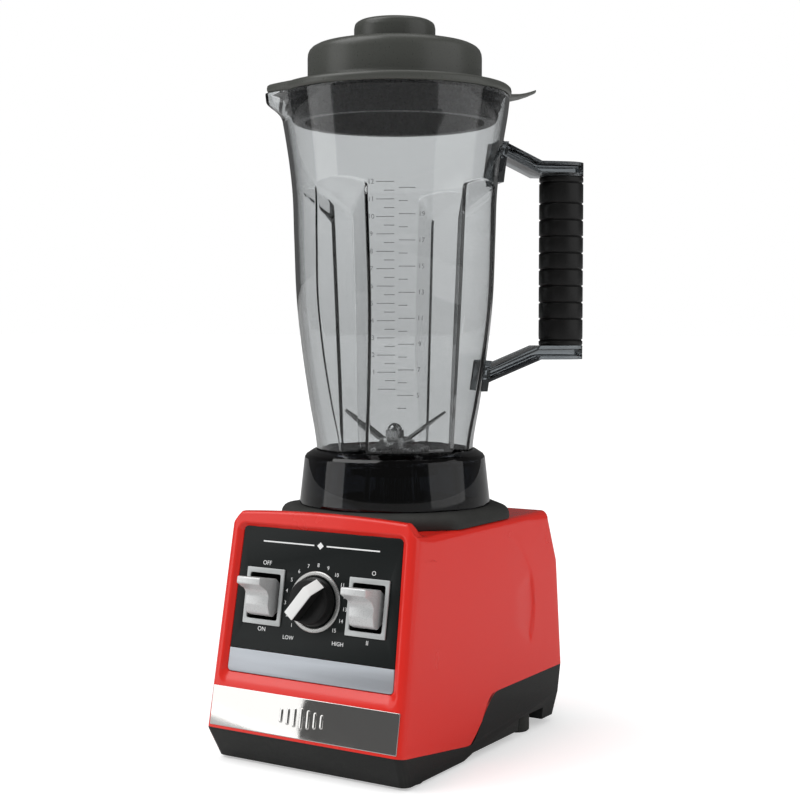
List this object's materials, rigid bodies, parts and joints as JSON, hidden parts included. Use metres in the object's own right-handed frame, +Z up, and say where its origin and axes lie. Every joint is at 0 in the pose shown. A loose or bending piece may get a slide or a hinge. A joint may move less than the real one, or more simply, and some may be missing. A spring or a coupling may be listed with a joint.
{
  "type": "countertop blender",
  "caption": "Countertop blender: motor base with sloped control panel, fluted clear jar with handle, blade unit, lid and filler cap.",
  "frame": {"origin": "on the motor and jar axis, at the surface that the feet stand on", "axes": "+Z up along the motor axis, -Y is the control panel side, +X is to the right for someone who faces the control panel; the handle points to the right rear corner"},
  "size_m": [0.1854, 0.2379, 0.51],
  "materials": {
    "red_shell": "high gloss",
    "black_plastic": "fine moulded texture",
    "rubber": "matt",
    "zinc_steel": "zinc plated",
    "panel_black": "printed satin film",
    "silver_label": "satin",
    "chrome": "polished",
    "grey_bezel": "satin",
    "satin_metal": "satin",
    "brass": "turned",
    "circuit_board": "coated",
    "lamination": "stacked sheet steel",
    "copper": "varnished copper",
    "cast_aluminium": "die cast",
    "carbon": "carbon",
    "bearing_steel": "ground",
    "coupling_steel": "machined",
    "smoked_clear": "clear moulded",
    "smoked_dark": "smoked moulded",
    "smoked_handle": "smoked moulded",
    "grip_rubber": "matt",
    "blade_steel": "ground",
    "grey_lid": "satin",
    "seal_black": "smooth",
    "knob_black": "satin",
    "knob_white": "painted",
    "lever_silver": "silver paint"
  },
  "bodies": {
    "base": {"housing": "red_shell", "base_tray": "black_plastic", "feet": "rubber", "foot_screws": "zinc_steel", "case_screws": "zinc_steel", "control_panel": "panel_black", "label_plate": "silver_label", "trim_strip": "chrome", "power_switch_bezel": "grey_bezel", "pulse_switch_bezel": "grey_bezel", "power_switch_body": "black_plastic", "pulse_switch_body": "black_plastic", "switch_pins": "zinc_steel", "dial_ring": "satin_metal", "potentiometer": "black_plastic", "potentiometer_nut": "brass", "cord_gland": "rubber", "overload_breaker": "black_plastic", "control_board": "circuit_board", "stator_core": "lamination", "field_windings": "copper", "upper_motor_bracket": "cast_aluminium", "lower_motor_bracket": "cast_aluminium", "motor_bolts": "zinc_steel", "carbon_brushes": "carbon", "motor_bearings": "bearing_steel", "motor_mounts": "rubber", "motor_mount_screws": "zinc_steel", "jar_pad": "rubber", "shaft_seal": "rubber"},
    "rotor": {"motor_shaft": "bearing_steel", "armature_core": "lamination", "armature_windings": "copper", "commutator": "copper", "cooling_fan": "black_plastic", "drive_coupling": "coupling_steel"},
    "jar": {"jar_body": "smoked_clear", "jar_collar": "smoked_dark", "handle_frame": "smoked_handle", "handle_grip": "grip_rubber", "blade_gasket": "rubber", "blade_bearing_housing": "bearing_steel", "blade_bearings": "bearing_steel", "jar_nut": "black_plastic", "blade_seal": "rubber"},
    "blades": {"blade_shaft": "bearing_steel", "blade_washer": "bearing_steel", "blade_upper": "blade_steel", "blade_lower": "blade_steel", "blade_nut": "blade_steel", "drive_socket": "coupling_steel"},
    "lid": {"lid_shell": "grey_lid", "lid_seal": "seal_black"},
    "filler_cap": {"filler_cap": "grey_lid"},
    "speed_knob": {"speed_knob": "knob_black", "knob_cover": "knob_white", "knob_shaft": "brass"},
    "power_lever": {"power_switch_lever": "lever_silver"},
    "pulse_lever": {"pulse_switch_lever": "lever_silver"},
    "reset_button": {"reset_button": "knob_black"}
  },
  "joints": [
    {"name": "motor_spin", "type": "hinge", "parent": "base", "child": "rotor", "pos_m": [0, 0, 0.1], "axis": [0, 0, 1], "continuous": true},
    {"name": "jar_lift", "type": "slide", "parent": "base", "child": "jar", "axis": [0, 0, 1], "range_m": [0, 0.06]},
    {"name": "blade_spin", "type": "hinge", "parent": "jar", "child": "blades", "pos_m": [0, 0, 0.2], "axis": [0, 0, 1], "continuous": true},
    {"name": "lid_lift", "type": "slide", "parent": "jar", "child": "lid", "axis": [0, 0, 1], "range_m": [0, 0.06]},
    {"name": "cap_lift", "type": "slide", "parent": "lid", "child": "filler_cap", "axis": [0, 0, 1], "range_m": [0, 0.05]},
    {"name": "speed_dial", "type": "hinge", "parent": "base", "child": "speed_knob", "pos_m": [0, -0.10442, 0.1141], "axis": [0, 0.9845, -0.1754], "range_deg": [0, 270]},
    {"name": "power_switch", "type": "hinge", "parent": "base", "child": "power_lever", "pos_m": [-0.0418, -0.09359, 0.11217], "axis": [1, 0, 0], "range_deg": [0, 20]},
    {"name": "pulse_switch", "type": "hinge", "parent": "base", "child": "pulse_lever", "pos_m": [0.0418, -0.09359, 0.11217], "axis": [1, 0, 0], "range_deg": [0, 20], "stiffness_Nm_per_rad": 0.05, "springref_deg": -20.05},
    {"name": "overload_reset", "type": "slide", "parent": "base", "child": "reset_button", "axis": [0, -1, 0], "range_m": [0, 0.002], "stiffness_N_per_m": 300, "springref_m": -0.003}
  ],
  "couplings": [
    {"joint": "blade_spin", "follows": "motor_spin", "ratio": 1}
  ]
}
